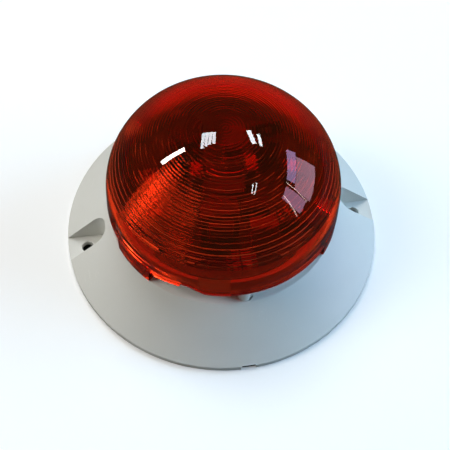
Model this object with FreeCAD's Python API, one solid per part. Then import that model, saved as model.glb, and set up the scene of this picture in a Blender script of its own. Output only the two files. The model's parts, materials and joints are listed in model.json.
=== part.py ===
import FreeCAD, Part
import os
from math import atan2, cos, degrees, hypot, pi, radians, sin, tan

# Wall-mounted siren with a red beacon lens. Millimetres. The origin is the centre of the back face on the
# wall, +Z points out of the wall to the top of the dome, and the two screw pockets lie along X.

V = FreeCAD.Vector
ORIGIN = V(0, 0, 0)
UP = V(0, 0, 1)

# Housing
base_r = 65.0
lip_h = 2.6
ledge_z = 20.5
ledge_inset = 0.3
wall = 2.4
shoulder_round = 0.8
drum_r = 43.0
drum_wall = 2.8
collar_h = 13.0
collar_edge = 1.0
collar_bevel = 4.0

# Screw pockets in the cone
mount_inset = 8.0
mount_shift = -1.9
mount_hole_r = 2.5
pocket_w = 10.8
pocket_back = 8.5
pocket_round = 4.6
pocket_floor = 2.4
pocket_wall = 1.8

# Notch in the rim
notch_w = 6.2
notch_h = 2.8
notch_round = 0.8

# Sound windows in the collar, under the rim of the lens
window_per_bay = 2
window_first = 67.0
window_span = 18.0
window_step = 23.0
window_lift = 1.3
window_h = 4.4

# Lens
lens_gap = 7.2
skirt_clear = 1.1
lens_wall = 2.2
rim_flare = 0.3
skirt_h = 6.9
dome_h = 36.9
knuckle_r = 30.0
ring_count = 23
ring_start = 8.5
tread_fall = 0.68
tread_from = 27.0
tread_least = 6.0

# Bayonet: feet and hooks on the lens, seams over the feet, reliefs in the rim beside them given as
# (degrees past the foot, rise), grooves and a stop on the collar
foot_count = 3
foot_first = 91.0
foot_span = 24.0
seam_rise = 2.4
seam_h = 1.0
seam_depth = 0.9
relief_line = ((1.0, 0.0), (17.0, 1.8), (17.0, 3.2), (21.5, 3.0), (29.0, 0.0))
hook_span = 14.0
hook_reach = 2.6
hook_h = 2.1
twist = 45.0
run_clear = 0.3
groove_clear = 1.2
stop_foot = 1
stop_r = 2.3
stop_reach = 2.8
stop_gap = 0.8
stop_edge = 0.6
slot_ends = ((44.0, 4.4), (45.6, 2.0))
slot_w = 0.7
slot_depth = 1.8

# Rear cover, its screws and the cable grommet
wire_space = 6.0
cover_t = 2.2
cover_clear = 0.4
boss_count = 3
boss_first = 45.0
boss_r = 2.8
boss_out = 1.6
boss_hole_depth = 8.0
grommet_edge = 0.6
grommet_bore_r = 3.0
grommet_neck_r = 4.2
grommet_flange_r = 5.6
grommet_flange_t = 1.4

# Screws: cover screws and board screws share one size
screw_r = 1.4
screw_head_r = 2.7
screw_head_h = 1.7
screw_l = 8.0
pilot_clear = 0.05
pass_clear = 0.3

# Sounder
piezo_r = 22.0
piezo_t = 0.4
ceramic_r = 15.0
ceramic_t = 0.3
seat_lap = 1.5
seat_wall = 1.8
seat_h = 4.0
piezo_clear = 0.2
cap_wall = 1.4
cap_h = 5.6
sound_hole_r = 6.5
contact_r = 0.6
contact_pitch = 5.0
header_w = 8.0
header_d = 3.0
header_h = 5.0

# Board
board_rise = 7.5
board_t = 1.6
board_clear = 0.5
flat_cut = 8.7
post_first = 105.0
post_count = 3
post_inset = 4.0
post_r = 3.0
post_h = 9.0
post_web = 2.4

# Flash tube and its holder
tube_at = (0.0, 3.0)
tube_l = 24.0
tube_r = 2.2
tube_rise = 15.0
electrode_l = 4.0
electrode_wall = 0.5
electrode_clear = 0.05
holder_foot_h = 2.0
holder_d = 8.0
holder_post_l = 4.0

# Power parts on the board
capacitor_at = (-11.0, 17.0)
capacitor_r = 6.25
capacitor_h = 20.0
capacitor_groove_z = 3.0
capacitor_groove = 0.5
coil_at = (7.0, 19.0)
coil_r = 4.0
coil_h = 11.0
coil_flange_t = 1.2
coil_winding_r = 3.2
core_at = (-4.0, -14.0)
core_w = 14.0
core_d = 7.0
core_h = 12.0
core_yoke = 2.2
core_leg = 4.0
winding_t = 2.8
winding_clear = 0.2
winding_round = 1.0
film_at = (11.5, -20.0)
film_w = 10.0
film_d = 5.0
film_h = 9.0
film_round = 0.8
transistor_at = (18.0, 17.0)
transistor_w = 10.0
transistor_body_d = 4.4
transistor_tab_t = 1.3
transistor_body_h = 9.0
transistor_tab_h = 15.5
transistor_hole_r = 1.8
chip_at = (10.5, -7.5)
chip_w = 10.0
chip_d = 6.4
chip_h = 3.4
chip_leg_w = 0.6
chip_leg_t = 1.2
chip_leg_pitch = 2.54
chip_legs = 4
axial_leg = 0.7
axial_leg_over = 2.0
diode_r = 1.4
diode_l = 5.2
diode_places = ((-14.5, -23.0), (-14.5, -27.0))
resistor_r = 1.2
resistor_l = 6.4
resistor_places = ((2.0, -26.0), (2.0, -29.5), (2.0, -33.0))

# Terminals
terminal_edge = 2.0
terminal_shift = -2.0
terminal_ways = 4
terminal_pitch = 5.0
terminal_d = 8.0
terminal_h = 10.0
terminal_step = 3.0
terminal_mouth_w = 3.2
terminal_mouth_h = 3.4
terminal_mouth_z = 1.2
terminal_screw_r = 1.7
terminal_well_clear = 0.2
terminal_well_depth = 4.0
terminal_screw_h = 2.6
terminal_slot_w = 0.6
terminal_slot_depth = 0.8

# Tone switch, four sliders
tone_at = (22.5, -13.7)
tone_count = 4
tone_pitch = 2.54
tone_d = 6.2
tone_h = 3.4
tone_end = 1.4
slider_w = 1.2
slider_l = 1.4
slider_h = 1.8
slider_stand = 0.7
slider_travel = 1.6
slider_side = 0.2
slider_end = 0.3
tone_on = (1, 3)

# Volume trimmer
trimmer_at = (27.0, 6.0)
trimmer_w = 7.0
trimmer_h = 4.4
rotor_r = 2.4
rotor_h = 1.8
rotor_sink = 1.2
rotor_clear = 0.3
rotor_slot_w = 0.7
rotor_slot_depth = 0.7

# Worked out from the sizes above
drum_in_r = drum_r - drum_wall
skirt_in_r = drum_r + skirt_clear
lens_r = skirt_in_r + lens_wall
rim_r = lens_r + rim_flare
shoulder_r = rim_r - ledge_inset
mount_pitch = 2 * (base_r - mount_inset)
collar_z = ledge_z + collar_h
roof_z = ledge_z - wall
cone_run = base_r - shoulder_r
cone_rise = ledge_z - lip_h
cone_drop = wall * hypot(cone_run, cone_rise) / cone_run
cover_z = wire_space
drum_z = wire_space + cover_t
boss_ring = drum_r + boss_out
cover_r = boss_ring + boss_r
grommet_ring = drum_in_r - grommet_flange_r - grommet_edge
rim_z = ledge_z + lens_gap
spring_z = rim_z + skirt_h
foot_z = ledge_z + run_clear
hook_r = skirt_in_r - hook_reach
groove_r = hook_r - run_clear
groove_top = foot_z + hook_h + run_clear
crown_r = ((lens_r - knuckle_r) ** 2 + dome_h ** 2 - knuckle_r ** 2) / (2 * (dome_h - knuckle_r))
crown_z = spring_z + dome_h - crown_r
knuckle_angle = atan2(spring_z - crown_z, lens_r - knuckle_r)
knuckle_arc = knuckle_r * knuckle_angle
dome_arc = knuckle_arc + crown_r * (pi / 2 - knuckle_angle)
seat_z = drum_z + seat_h
seat_r = piezo_r + seat_wall
piezo_z = seat_z + piezo_t
board_z = ledge_z + board_rise
board_top = board_z + board_t
board_r = drum_in_r - board_clear
board_flat = board_r - flat_cut
terminal_at = (terminal_edge + terminal_d / 2 - board_flat, terminal_shift)
post_ring = board_r - post_inset
electrode_r = tube_r + electrode_clear + electrode_wall
tube_z = board_top + tube_rise
pilot_r = screw_r + pilot_clear
pass_r = screw_r + pass_clear
overlap = 0.5
hair = 1e-6


def rounded(corners, closed):
    """Edges through (point, radius) corners, each corner rounded by a tangent arc of its radius."""
    count = len(corners)
    spans = []
    for i, (corner, radius) in enumerate(corners):
        if radius == 0:
            spans.append((corner, None, corner))
            continue
        back = (corners[i - 1][0] - corner).normalize()
        ahead = (corners[(i + 1) % count][0] - corner).normalize()
        half = back.getAngle(ahead) / 2
        reach = radius / tan(half)
        inward = (back + ahead).normalize()
        middle = corner + inward * (radius / sin(half) - radius)
        spans.append((corner + back * reach, middle, corner + ahead * reach))
    edges = []
    for i, (start, middle, end) in enumerate(spans):
        if middle:
            edges.append(Part.Arc(start, middle, end).toShape())
        following = spans[(i + 1) % count][0]
        if (closed or i < count - 1) and (following - end).Length > hair:
            edges.append(Part.LineSegment(end, following).toShape())
    return edges


def lathe(profile):
    """Solid of revolution of a closed (radius, height, corner round) profile."""
    corners = [(V(r, 0, z), corner) for r, z, corner in profile]
    face = Part.Face(Part.Wire(rounded(corners, True)))
    return face.revolve(ORIGIN, UP, 360)


def prism(profile, z0, z1):
    """Upright solid on a closed (x, y, corner round) outline."""
    corners = [(V(x, y, z0), corner) for x, y, corner in profile]
    face = Part.Face(Part.Wire(rounded(corners, True)))
    return face.extrude(V(0, 0, z1 - z0))


def block(width, depth, z0, z1, at=(0.0, 0.0), corner=0.0):
    """Upright block centred on a place, with its four upright edges rounded."""
    x, y = at
    sides = ((-1, -1), (1, -1), (1, 1), (-1, 1))
    return prism([(x + i * width / 2, y + j * depth / 2, corner) for i, j in sides], z0, z1)


def rod(radius, z0, z1, at=(0.0, 0.0)):
    """Upright cylinder at a place."""
    return Part.makeCylinder(radius, z1 - z0, V(at[0], at[1], z0))


def bar(radius, length, middle):
    """Cylinder lying along X about its middle."""
    return Part.makeCylinder(radius, length, middle - V(length / 2, 0, 0), V(1, 0, 0))


def sector(r0, r1, z0, z1, start, end):
    """Part of a ring between two angles in degrees."""
    face = Part.Face(Part.makePolygon([V(r0, 0, z0), V(r1, 0, z0), V(r1, 0, z1), V(r0, 0, z1), V(r0, 0, z0)]))
    return turned(face.revolve(ORIGIN, UP, end - start), start)


def turned(shape, angle):
    """Copy of a shape turned about the part's axis."""
    copy = shape.copy()
    copy.rotate(ORIGIN, UP, angle)
    return copy


def mirrored(shape):
    """Copy of a shape on the other side of the YZ plane."""
    return shape.mirror(ORIGIN, V(1, 0, 0))


def ring_places(count, first, radius):
    """Evenly spaced (x, y) places on a circle about the part's axis."""
    angles = [radians(first + 360.0 / count * i) for i in range(count)]
    return [(radius * cos(a), radius * sin(a)) for a in angles]


def one(shape):
    """The single solid of a boolean result, with merged faces."""
    return shape.removeSplitter().Solids[0]


def foot_angles():
    """Angles of the lens feet about the axis."""
    return [foot_first + 360.0 / foot_count * i for i in range(foot_count)]


# Housing

def under_cone_z(radius):
    """Height of the cone's inner face at a radius."""
    return lip_h + (base_r - radius) * cone_rise / cone_run - cone_drop


def under_cone_r(height):
    """Radius of the cone's inner face at a height."""
    return base_r - (height - lip_h + cone_drop) * cone_run / cone_rise


def housing_shell():
    """Rim, cone, ledge, collar and drum as one turned section."""
    inner_r = base_r - wall
    return lathe([
        (inner_r, 0, 0), (base_r, 0, 0), (base_r, lip_h, 0), (shoulder_r, ledge_z, shoulder_round),
        (drum_r, ledge_z, 0), (drum_r, collar_z, 0), (drum_r - collar_edge, collar_z, 0),
        (drum_in_r, collar_z - collar_bevel, 0), (drum_in_r, drum_z, 0), (drum_r, drum_z, 0),
        (drum_r, roof_z, 0), (under_cone_r(roof_z), roof_z, 0), (inner_r, under_cone_z(inner_r), 0)])


def pocket_prism(grow, z0, z1):
    """Screw pocket on +X, open outwards, grown all round by a wall."""
    inner = mount_pitch / 2 - pocket_back - grow
    outer = base_r + wall
    low = mount_shift - pocket_w / 2 - grow
    high = mount_shift + pocket_w / 2 + grow
    corner = pocket_round + grow
    return prism([(inner, low, corner), (outer, low, 0), (outer, high, 0), (inner, high, corner)], z0, z1)


def rim_notch():
    """Low cut through the rim on -Y."""
    outer = -(base_r + wall)
    inner = -(under_cone_r(notch_h) - wall)
    half = notch_w / 2
    arch = [(V(-half, outer, -wall), 0), (V(half, outer, -wall), 0),
            (V(half, outer, notch_h), notch_round), (V(-half, outer, notch_h), notch_round)]
    return Part.Face(Part.Wire(rounded(arch, True))).extrude(V(0, inner - outer, 0))


def collar_cuts():
    """Sound windows, and the bayonet's entry and locking grooves."""
    cuts = []
    reach = hook_span / 2 + groove_clear
    proud = drum_r + overlap
    low = ledge_z + window_lift
    for foot in foot_angles():
        lift_out = foot + twist
        cuts.append(sector(groove_r, proud, ledge_z, groove_top, foot - reach, lift_out + reach))
        cuts.append(sector(groove_r, proud, ledge_z, collar_z + overlap, lift_out - reach, lift_out + reach))
        for i in range(window_per_bay):
            start = foot + window_first + window_step * i
            cuts.append(sector(drum_in_r - overlap, proud, low, low + window_h, start, start + window_span))
    return cuts


def stop_angle():
    """Angle of the stop that a lens foot meets at the end of its twist."""
    foot_side = foot_angles()[stop_foot] + foot_span / 2
    return foot_side + twist + degrees((stop_r + run_clear) / skirt_in_r)


def stop_pip():
    """Half-round pip that stands on the ledge against the collar."""
    at = drum_r + stop_reach - stop_r
    top = rim_z - stop_gap
    pip = rod(stop_r, roof_z + overlap, top, (at, 0))
    edge = [edge for edge in pip.Edges if edge.BoundBox.ZMin > top - overlap]
    return turned(pip.makeChamfer(stop_edge, edge), stop_angle())


def stop_slot():
    """Narrow blind slot in the ledge along the far side of the pip."""
    start, end = [turned(Part.Vertex(r, 0, ledge_z - slot_depth), angle).Point for r, angle in slot_ends]
    along = end - start
    across = UP.cross(along).normalize() * slot_w
    near = start - across / 2
    far = near + along
    face = Part.Face(Part.makePolygon([near, far, far + across, near + across, near]))
    return turned(face.extrude(V(0, 0, slot_depth + overlap)), stop_angle())


def base_housing():
    """Moulded housing with pockets, posts, bosses and collar."""
    envelope = lathe([(0, 0, 0), (base_r, 0, 0), (base_r, lip_h, 0),
                      (shoulder_r, ledge_z, shoulder_round), (0, ledge_z, 0)])
    pocket_shell = pocket_prism(pocket_wall, 0, ledge_z).common(envelope)
    adds = [pocket_shell, mirrored(pocket_shell), stop_pip()]
    for at in ring_places(boss_count, boss_first, boss_ring):
        adds.append(rod(boss_r, drum_z, roof_z + overlap, at))
    web_l = drum_in_r + overlap - post_ring
    web = Part.makeBox(web_l, post_web, post_h, V(post_ring, -post_web / 2, board_z - post_h))
    for i, at in enumerate(ring_places(post_count, post_first, post_ring)):
        adds.append(rod(post_r, board_z - post_h, board_z, at))
        adds.append(turned(web, post_first + 360.0 / post_count * i))
    pocket = pocket_prism(0, pocket_floor, collar_z)
    hole = rod(mount_hole_r, -wall, pocket_floor + wall, (mount_pitch / 2, mount_shift))
    cuts = [pocket, mirrored(pocket), hole, mirrored(hole), rim_notch(), stop_slot()]
    cuts += collar_cuts()
    for at in ring_places(boss_count, boss_first, boss_ring):
        cuts.append(rod(pilot_r, drum_z - overlap, drum_z + boss_hole_depth, at))
    for at in ring_places(post_count, post_first, post_ring):
        cuts.append(rod(pilot_r, board_z - screw_l, board_z + overlap, at))
    return one(housing_shell().fuse(adds).cut(cuts))


# Lens

def dome_point(arc, depth):
    """Point at an arc length up the dome from its spring line, moved inwards by a depth."""
    if arc < knuckle_arc:
        angle = arc / knuckle_r
        return V(lens_r - knuckle_r, 0, spring_z) + V(cos(angle), 0, sin(angle)) * (knuckle_r - depth)
    angle = knuckle_angle + (arc - knuckle_arc) / crown_r
    return V(0, 0, crown_z) + V(cos(angle), 0, sin(angle)) * (crown_r - depth)


def ring_profile():
    """Inside of the dome from the axis down: risers, treads flatter than the wall, then the plain band."""
    step = (dome_arc - ring_start) / ring_count
    ends = [dome_point(ring_start + step * i, lens_wall) for i in range(ring_count + 1)]
    line = []
    for low, high in zip(reversed(ends[:-1]), reversed(ends)):
        slope = degrees(atan2(high.z - low.z, low.x - high.x))
        tread = max(slope - max(tread_least, tread_fall * (slope - tread_from)), 0)
        line.append(V(high.x, 0, low.z + (low.x - high.x) * tan(radians(tread))))
        line.append(low)
    line.append(dome_point(ring_start / 2, lens_wall))
    line.append(dome_point(0, lens_wall))
    return line


def lens_shell():
    """Dome and skirt: knuckle and crown arcs outside, plain band and prism rings inside."""
    apex = V(0, 0, spring_z + dome_h)
    shoulder = dome_point(0, 0)
    tangent = dome_point(knuckle_arc, 0)
    knuckle = Part.Arc(shoulder, dome_point(knuckle_arc / 2, 0), tangent).toShape()
    crown = Part.Arc(tangent, dome_point((knuckle_arc + dome_arc) / 2, 0), apex).toShape()
    inside = ring_profile() + [V(skirt_in_r, 0, rim_z), V(rim_r, 0, rim_z), shoulder]
    lines = [Part.LineSegment(a, b).toShape() for a, b in zip([apex] + inside, inside)]
    return Part.Face(Part.Wire([knuckle, crown] + lines)).revolve(ORIGIN, UP, 360)


def rim_relief(foot):
    """Cut through the skirt past a foot, along a rising line, a step and a falling line."""
    middle = (relief_line[0][0] + relief_line[-1][0]) / 2
    inside = skirt_in_r * cos(radians(middle)) - overlap
    places = [(rim_r * sin(radians(angle - middle)), rim_z + rise) for angle, rise in relief_line]
    corners = [(places[0][0], rim_z - overlap)] + places + [(places[-1][0], rim_z - overlap)]
    line = [V(inside, along, height) for along, height in corners]
    plate = Part.Face(Part.makePolygon(line + line[:1])).extrude(V(rim_r + overlap - inside, 0, 0))
    return turned(plate, foot + foot_span / 2 + middle)


def lens_dome():
    """Red lens with its three feet and hooks, a seam over each foot and a relief in the rim beside it."""
    adds = []
    cuts = []
    low = rim_z + seam_rise
    for foot in foot_angles():
        start = foot - foot_span / 2
        end = foot + foot_span / 2
        adds.append(sector(skirt_in_r, rim_r, foot_z, rim_z, start, end))
        adds.append(sector(hook_r, skirt_in_r + overlap, foot_z, foot_z + hook_h,
                           foot - hook_span / 2, foot + hook_span / 2))
        cuts.append(sector(rim_r - seam_depth, rim_r + overlap, low, low + seam_h, start, end))
        cuts.append(rim_relief(foot))
    return one(lens_shell().fuse(adds).cut(cuts))


# Rear cover

def rear_cover():
    """Round plate that closes the drum, with the sounder's seat on its inside."""
    plate = rod(cover_r, cover_z, drum_z)
    seat = lathe([(piezo_r - seat_lap, drum_z - overlap, 0), (seat_r, drum_z - overlap, 0),
                  (seat_r, seat_z, 0), (piezo_r - seat_lap, seat_z, 0)])
    relief = pocket_prism(pocket_wall + cover_clear, cover_z - overlap, drum_z + overlap)
    cuts = [relief, mirrored(relief), rod(grommet_neck_r, 0, seat_z, (0, -grommet_ring))]
    for at in ring_places(boss_count, boss_first, boss_ring):
        cuts.append(rod(pass_r, 0, seat_z, at))
    return one(plate.fuse(seat).cut(cuts))


def pan_screw(at, z, facing):
    """Pan-head screw whose head seats at a height; facing is +1 for a head above the seat, -1 below."""
    screw = lathe([(0, -screw_l, 0), (screw_r, -screw_l, 0), (screw_r, 0, 0), (screw_head_r, 0, 0),
                   (screw_head_r, screw_head_h, 0), (0, screw_head_h, 0)])
    if facing < 0:
        screw.rotate(ORIGIN, V(1, 0, 0), 180)
    screw.translate(V(at[0], at[1], z))
    return screw


def rear_cover_screws():
    """Three screws into the housing's bosses, heads on the back of the cover."""
    places = ring_places(boss_count, boss_first, boss_ring)
    return Part.makeCompound([pan_screw(at, cover_z, -1) for at in places])


def cable_grommet():
    """Rubber grommet in the cover, flanged on both faces."""
    low = cover_z - grommet_flange_t
    high = drum_z + grommet_flange_t
    ring = lathe([(grommet_bore_r, low, 0), (grommet_flange_r, low, 0), (grommet_flange_r, cover_z, 0),
                  (grommet_neck_r, cover_z, 0), (grommet_neck_r, drum_z, 0), (grommet_flange_r, drum_z, 0),
                  (grommet_flange_r, high, 0), (grommet_bore_r, high, 0)])
    ring.translate(V(0, -grommet_ring, 0))
    return ring


# Sounder

def piezo_disc():
    """Brass plate on its seat."""
    return rod(piezo_r, seat_z, piezo_z)


def piezo_ceramic():
    """Ceramic disc under the brass plate."""
    return rod(ceramic_r, seat_z - ceramic_t, seat_z)


def sounder_cap():
    """Resonator cap that holds the plate down by its edge."""
    inner = piezo_r - seat_lap
    rebate = piezo_r + piezo_clear
    top = piezo_z + cap_h
    return lathe([(sound_hole_r, top, 0), (sound_hole_r, top - cap_wall, 0), (inner, top - cap_wall, 0),
                  (inner, piezo_z, 0), (rebate, piezo_z, 0), (rebate, seat_z, 0), (seat_r, seat_z, 0),
                  (seat_r, top, 0)])


def sounder_header():
    """Header under the board that carries the sounder's contact pins."""
    return block(header_w, header_d, board_z - header_h, board_z)


def sounder_contacts():
    """Two contact pins from the header down through the sound hole to the plate."""
    sides = (-contact_pitch / 2, contact_pitch / 2)
    return Part.makeCompound([rod(contact_r, piezo_z, board_z - header_h, (x, 0)) for x in sides])


# Board

def main_board():
    """Round board with a flat for the cable's way up, on the housing's posts."""
    disc = rod(board_r, board_z, board_top)
    corner = V(-board_flat - board_r, -board_r, board_z - board_t / 2)
    flat = Part.makeBox(board_r, 2 * board_r, 2 * board_t, corner)
    holes = [rod(pass_r, board_z - overlap, board_top + overlap, at)
             for at in ring_places(post_count, post_first, post_ring)]
    return one(disc.cut([flat] + holes))


def board_screws():
    """Three screws through the board into the posts."""
    places = ring_places(post_count, post_first, post_ring)
    return Part.makeCompound([pan_screw(at, board_top, 1) for at in places])


# Flash tube

def tube_ends():
    """Middle of the electrode cap on each end of the tube."""
    x, y = tube_at
    shift = (tube_l - electrode_l) / 2
    return [V(x - shift, y, tube_z), V(x + shift, y, tube_z)]


def flash_tube():
    """Straight glass flash tube over the middle of the board."""
    return bar(tube_r, tube_l, V(tube_at[0], tube_at[1], tube_z))


def tube_electrodes():
    """Metal cap on each end of the tube."""
    inner_r = tube_r + electrode_clear
    caps = [bar(electrode_r, electrode_l, end).cut(bar(inner_r, 2 * electrode_l, end)) for end in tube_ends()]
    return Part.makeCompound([cap.Solids[0] for cap in caps])


def tube_holder():
    """White bracket: a foot on the board and a post with a round saddle under each electrode cap."""
    x, y = tube_at
    body = block(tube_l, holder_d, board_top, board_top + holder_foot_h, tube_at)
    posts = [block(holder_post_l, holder_d, board_top, tube_z, (end.x, y)) for end in tube_ends()]
    saddle = bar(electrode_r + electrode_clear, 2 * tube_l, V(x, y, tube_z))
    return one(body.fuse(posts).cut(saddle))


# Power parts

def storage_capacitor():
    """Electrolytic can with its crimped groove."""
    low = board_top
    high = board_top + capacitor_h
    crimp = low + capacitor_groove_z
    can = lathe([(0, low, 0), (capacitor_r, low, 0), (capacitor_r, crimp - capacitor_groove, 0),
                 (capacitor_r - capacitor_groove, crimp, 0), (capacitor_r, crimp + capacitor_groove, 0),
                 (capacitor_r, high, 0), (0, high, 0)])
    can.translate(V(capacitor_at[0], capacitor_at[1], 0))
    return can


def trigger_coil():
    """Small bobbin with its winding between two flanges."""
    low = board_top
    high = board_top + coil_h
    coil = lathe([(0, low, 0), (coil_r, low, 0), (coil_r, low + coil_flange_t, 0),
                  (coil_winding_r, low + coil_flange_t, 0), (coil_winding_r, high - coil_flange_t, 0),
                  (coil_r, high - coil_flange_t, 0), (coil_r, high, 0), (0, high, 0)])
    coil.translate(V(coil_at[0], coil_at[1], 0))
    return coil


def core_window():
    """Width of each window between the core's legs."""
    return (core_w - core_leg - 2 * core_yoke) / 2


def transformer_core():
    """Ferrite core with a leg through the winding and one on each side."""
    body = block(core_w, core_d, board_top, board_top + core_h, core_at)
    shift = core_leg / 2 + core_window() / 2
    windows = []
    for side in (-1, 1):
        at = (core_at[0] + side * shift, core_at[1])
        windows.append(block(core_window(), 2 * core_d, board_top + core_yoke,
                             board_top + core_h - core_yoke, at))
    return one(body.cut(windows))


def transformer_winding():
    """Taped winding round the middle leg."""
    width = core_leg + 2 * core_window() - 2 * winding_clear
    depth = core_d + 2 * winding_t
    low = board_top + core_yoke
    high = board_top + core_h - core_yoke
    coil = block(width, depth, low, high, core_at, winding_round)
    leg = block(core_leg, core_d, low, high, core_at)
    return one(coil.cut(leg))


def film_capacitor():
    """Boxed film capacitor."""
    return block(film_w, film_d, board_top, board_top + film_h, film_at, film_round)


def power_transistor():
    """Upright transistor with its drilled tab."""
    x, y = transistor_at
    back = y + transistor_body_d / 2 - transistor_tab_t / 2
    tab_top = board_top + transistor_tab_h
    body = block(transistor_w, transistor_body_d, board_top, board_top + transistor_body_h, transistor_at)
    tab = block(transistor_w, transistor_tab_t, board_top, tab_top, (x, back))
    middle = (board_top + transistor_body_h + tab_top) / 2
    front = V(x, y - transistor_body_d, middle)
    hole = Part.makeCylinder(transistor_hole_r, 2 * transistor_body_d, front, V(0, 1, 0))
    return one(body.fuse(tab).cut(hole))


def controller_chip():
    """Chip on two rows of legs."""
    x, y = chip_at
    parts = [block(chip_w, chip_d, board_top + chip_leg_t, board_top + chip_h, chip_at)]
    for side in (-1, 1):
        for i in range(chip_legs):
            at = (x + chip_leg_pitch * (i - (chip_legs - 1) / 2), y + side * (chip_d - chip_leg_w) / 2)
            parts.append(block(chip_leg_w, chip_leg_w, board_top, board_top + chip_leg_t, at))
    return one(parts[0].fuse(parts[1:]))


def axial(at, length, radius):
    """Lying axial part with a lead bent down to the board at each end."""
    x, y = at
    height = board_top + radius
    span = length + 2 * axial_leg_over
    leads = [block(span, axial_leg, height - axial_leg / 2, height + axial_leg / 2, at)]
    for side in (-1, 1):
        leads.append(block(axial_leg, axial_leg, board_top, height, (x + side * (span - axial_leg) / 2, y)))
    return one(bar(radius, length, V(x, y, height)).fuse(leads))


def diodes():
    """Rectifier diodes."""
    return Part.makeCompound([axial(at, diode_l, diode_r) for at in diode_places])


def resistors():
    """Axial resistors."""
    return Part.makeCompound([axial(at, resistor_l, resistor_r) for at in resistor_places])


# Terminals

def terminal_places():
    """Middle of each terminal, in a row along Y."""
    x, y = terminal_at
    return [(x, y + terminal_pitch * (i - (terminal_ways - 1) / 2)) for i in range(terminal_ways)]


def terminal_block():
    """Stepped block with a wire mouth to the flat side of the board and a screw well on top of each way."""
    x, y = terminal_at
    half = terminal_d / 2
    length = terminal_ways * terminal_pitch
    top = board_top + terminal_h
    step = [V(x - half, 0, board_top), V(x + half, 0, board_top), V(x + half, 0, top - terminal_step),
            V(x + half - terminal_step, 0, top), V(x - half, 0, top)]
    face = Part.Face(Part.makePolygon(step + step[:1]))
    face.translate(V(0, y - length / 2, 0))
    body = face.extrude(V(0, length, 0))
    cuts = []
    for at in terminal_places():
        mouth_z = board_top + terminal_mouth_z
        cuts.append(Part.makeBox(half, terminal_mouth_w, terminal_mouth_h,
                                 V(x - half, at[1] - terminal_mouth_w / 2, mouth_z)))
        well_r = terminal_screw_r + terminal_well_clear
        cuts.append(rod(well_r, top - terminal_well_depth, top + overlap, (x - well_r / 2, at[1])))
    return one(body.cut(cuts))


def terminal_screws():
    """Slotted clamp screws at the bottom of the wells."""
    low = board_top + terminal_h - terminal_well_depth
    high = low + terminal_screw_h
    shift = (terminal_screw_r + terminal_well_clear) / 2
    screws = []
    for x, y in terminal_places():
        at = (x - shift, y)
        slot = block(terminal_slot_w, 3 * terminal_screw_r, high - terminal_slot_depth, high + overlap, at)
        screws.append(one(rod(terminal_screw_r, low, high, at).cut(slot)))
    return Part.makeCompound(screws)


# Tone switch and volume trimmer

def slider_place(index):
    """Place of a slider's middle in its off position, at the -Y end of its slot."""
    x, y = tone_at
    return (x + tone_pitch * (index - (tone_count - 1) / 2), y - slider_travel / 2)


def tone_switch_body():
    """Low switch body with one slot for each slider."""
    width = tone_pitch * (tone_count - 1) + slider_w + 2 * tone_end
    top = board_top + tone_h
    floor = top - (slider_h - slider_stand) - slider_side
    slot_l = slider_l + slider_travel + 2 * slider_end
    slots = []
    for i in range(tone_count):
        at = (slider_place(i)[0], tone_at[1])
        slots.append(block(slider_w + 2 * slider_side, slot_l, floor, top + overlap, at))
    return one(block(width, tone_d, board_top, top, tone_at).cut(slots))


def tone_slider(index):
    """One slider, in its off or its on position."""
    x, y = slider_place(index)
    shift = slider_travel if index in tone_on else 0.0
    high = board_top + tone_h + slider_stand
    return block(slider_w, slider_l, high - slider_h, high, (x, y + shift))


def volume_trimmer_body():
    """Square trimmer body with a round well for its rotor."""
    top = board_top + trimmer_h
    well = rod(rotor_r + rotor_clear, top - rotor_sink - rotor_clear, top + overlap, trimmer_at)
    return one(block(trimmer_w, trimmer_w, board_top, top, trimmer_at, rotor_clear).cut(well))


def volume_trimmer_rotor():
    """Rotor with a screwdriver slot."""
    low = board_top + trimmer_h - rotor_sink
    high = low + rotor_h
    slot = block(2 * rotor_r, rotor_slot_w, high - rotor_slot_depth, high + overlap, trimmer_at)
    return one(rod(rotor_r, low, high, trimmer_at).cut(slot))


nodes = {
    "base_housing": base_housing(),
    "lens_dome": lens_dome(),
    "rear_cover": rear_cover(),
    "rear_cover_screws": rear_cover_screws(),
    "cable_grommet": cable_grommet(),
    "piezo_disc": piezo_disc(),
    "piezo_ceramic": piezo_ceramic(),
    "sounder_cap": sounder_cap(),
    "sounder_header": sounder_header(),
    "sounder_contacts": sounder_contacts(),
    "main_board": main_board(),
    "board_screws": board_screws(),
    "flash_tube": flash_tube(),
    "tube_electrodes": tube_electrodes(),
    "tube_holder": tube_holder(),
    "storage_capacitor": storage_capacitor(),
    "trigger_coil": trigger_coil(),
    "transformer_core": transformer_core(),
    "transformer_winding": transformer_winding(),
    "film_capacitor": film_capacitor(),
    "power_transistor": power_transistor(),
    "controller_chip": controller_chip(),
    "diodes": diodes(),
    "resistors": resistors(),
    "terminal_block": terminal_block(),
    "terminal_screws": terminal_screws(),
    "tone_switch_body": tone_switch_body(),
    "volume_trimmer_body": volume_trimmer_body(),
    "volume_trimmer_rotor": volume_trimmer_rotor(),
}
for number in range(tone_count):
    nodes["tone_slider_%d" % (number + 1)] = tone_slider(number)

os.makedirs("parts", exist_ok=True)
for name, shape in nodes.items():
    shape.exportStep("parts/" + name + ".step")
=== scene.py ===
"""Looks of a wall-mounted siren with a red beacon lens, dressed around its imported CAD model.

Lengths in the dataclasses of pieces and finishes are millimetres. Those of the studio are metres,
apart from the camera's focal length and sensor, and scales of textures are per metre. Meshes are
made in metres in the part's own frame, whose origin is the centre of the back face, with +Z out of
the wall to the top of the dome and the screw pockets along X.
"""

import json
import logging
import math
from dataclasses import dataclass, field
from enum import Enum
from typing import Dict, List, Optional, Sequence, Tuple, Union

import bpy
import numpy as np
from mathutils import Matrix, Quaternion, Vector


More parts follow.
